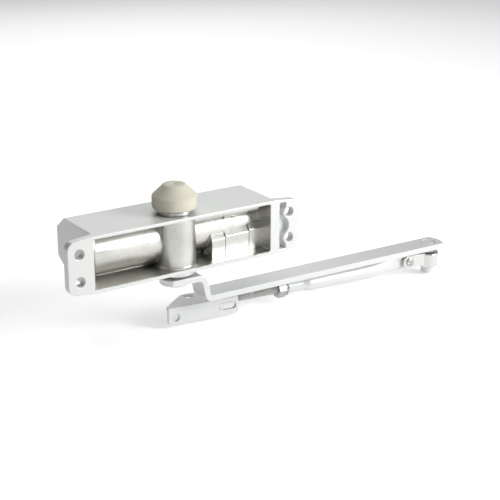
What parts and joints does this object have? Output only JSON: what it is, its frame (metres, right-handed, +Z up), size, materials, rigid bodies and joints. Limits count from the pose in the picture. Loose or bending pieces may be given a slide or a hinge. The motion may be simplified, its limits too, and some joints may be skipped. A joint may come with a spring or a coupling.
{
  "type": "door closer",
  "caption": "Overhead rack-and-pinion door closer: an open-fronted cast body with a plastic-capped pinion, a flat main arm and an adjustable rod forearm folded under it.",
  "frame": {"origin": "centre of the four fixing holes, on the mounting plane of the body", "axes": "+X along the body towards the elbow of the folded arm, +Y out from the door face through the body, +Z up along the pinion axis"},
  "size_m": [0.3266, 0.0573, 0.1088],
  "materials": {
    "silver_paint": "satin silver paint over a fine cast or rolled surface",
    "cap_plastic": "warm light grey moulded plastic, slightly satin",
    "zinc_steel": "bright zinc-plated steel",
    "machined_steel": "oiled machined steel",
    "valve_brass": "turned brass",
    "seal_rubber": "black seal rubber"
  },
  "bodies": {
    "body": {"housing": "silver_paint", "upper_bearing": "zinc_steel", "lower_bearing": "zinc_steel", "upper_seal": "seal_rubber", "lower_seal": "seal_rubber", "upper_bearing_nut": "zinc_steel", "lower_bearing_nut": "zinc_steel", "end_plug": "zinc_steel", "end_plug_oring": "seal_rubber", "main_spring": "machined_steel"},
    "pinion_and_arm": {"pinion": "machined_steel", "pinion_cap": "cap_plastic", "main_arm": "silver_paint", "arm_screw": "zinc_steel", "elbow_rivet": "zinc_steel", "elbow_washer": "zinc_steel"},
    "piston": {"piston": "machined_steel", "check_valve": "valve_brass"},
    "closing_valve": {"closing_valve": "valve_brass", "closing_valve_oring": "seal_rubber"},
    "latching_valve": {"latching_valve": "valve_brass", "latching_valve_oring": "seal_rubber"},
    "knuckle": {"elbow_knuckle": "zinc_steel", "hinge_screw": "zinc_steel", "hinge_nut": "zinc_steel"},
    "forearm": {"forearm_tube": "silver_paint", "lock_washer": "zinc_steel", "lock_nut": "zinc_steel"},
    "rod": {"threaded_rod": "zinc_steel", "bracket_rivet": "zinc_steel"},
    "foot": {"foot_bracket": "silver_paint"}
  },
  "joints": [
    {"name": "pinion_turn", "type": "hinge", "parent": "body", "child": "pinion_and_arm", "pos_m": [-0.00167, 0.01639, 0], "axis": [0, 0, 1], "range_deg": [0, 180], "stiffness_Nm_per_rad": 3, "springref_deg": -74.48},
    {"name": "piston_slide", "type": "slide", "parent": "body", "child": "piston", "axis": [-1, 0, 0], "range_m": [0, 0.0236], "deforming": ["main_spring"]},
    {"name": "closing_valve_turn", "type": "hinge", "parent": "body", "child": "closing_valve", "pos_m": [0.0588, 0.0152, -0.012], "axis": [1, 0, 0], "range_deg": [-180, 180]},
    {"name": "latching_valve_turn", "type": "hinge", "parent": "body", "child": "latching_valve", "pos_m": [0.0588, 0.0435, 0.0115], "axis": [1, 0, 0], "range_deg": [-180, 180]},
    {"name": "elbow_swing", "type": "hinge", "parent": "pinion_and_arm", "child": "knuckle", "pos_m": [0.22467, 0.01106, -0.05104], "axis": [0, 0, 1], "range_deg": [-170, 170]},
    {"name": "forearm_tilt", "type": "hinge", "parent": "knuckle", "child": "forearm", "pos_m": [0.20424, 0.0128, -0.05509], "axis": [-0.0851, -0.9964, 0], "range_deg": [-0.8, 10]},
    {"name": "rod_adjust", "type": "slide", "parent": "forearm", "child": "rod", "axis": [-0.9964, 0.0851, 0], "range_m": [-0.008, 0.015]},
    {"name": "bracket_swing", "type": "hinge", "parent": "rod", "child": "foot", "pos_m": [0.03316, 0.02741, -0.05709], "axis": [0, 0, 1], "range_deg": [-110, 3]}
  ],
  "couplings": [
    {"joint": "piston_slide", "follows": "pinion_turn", "m_per_rad": 0.0075}
  ]
}
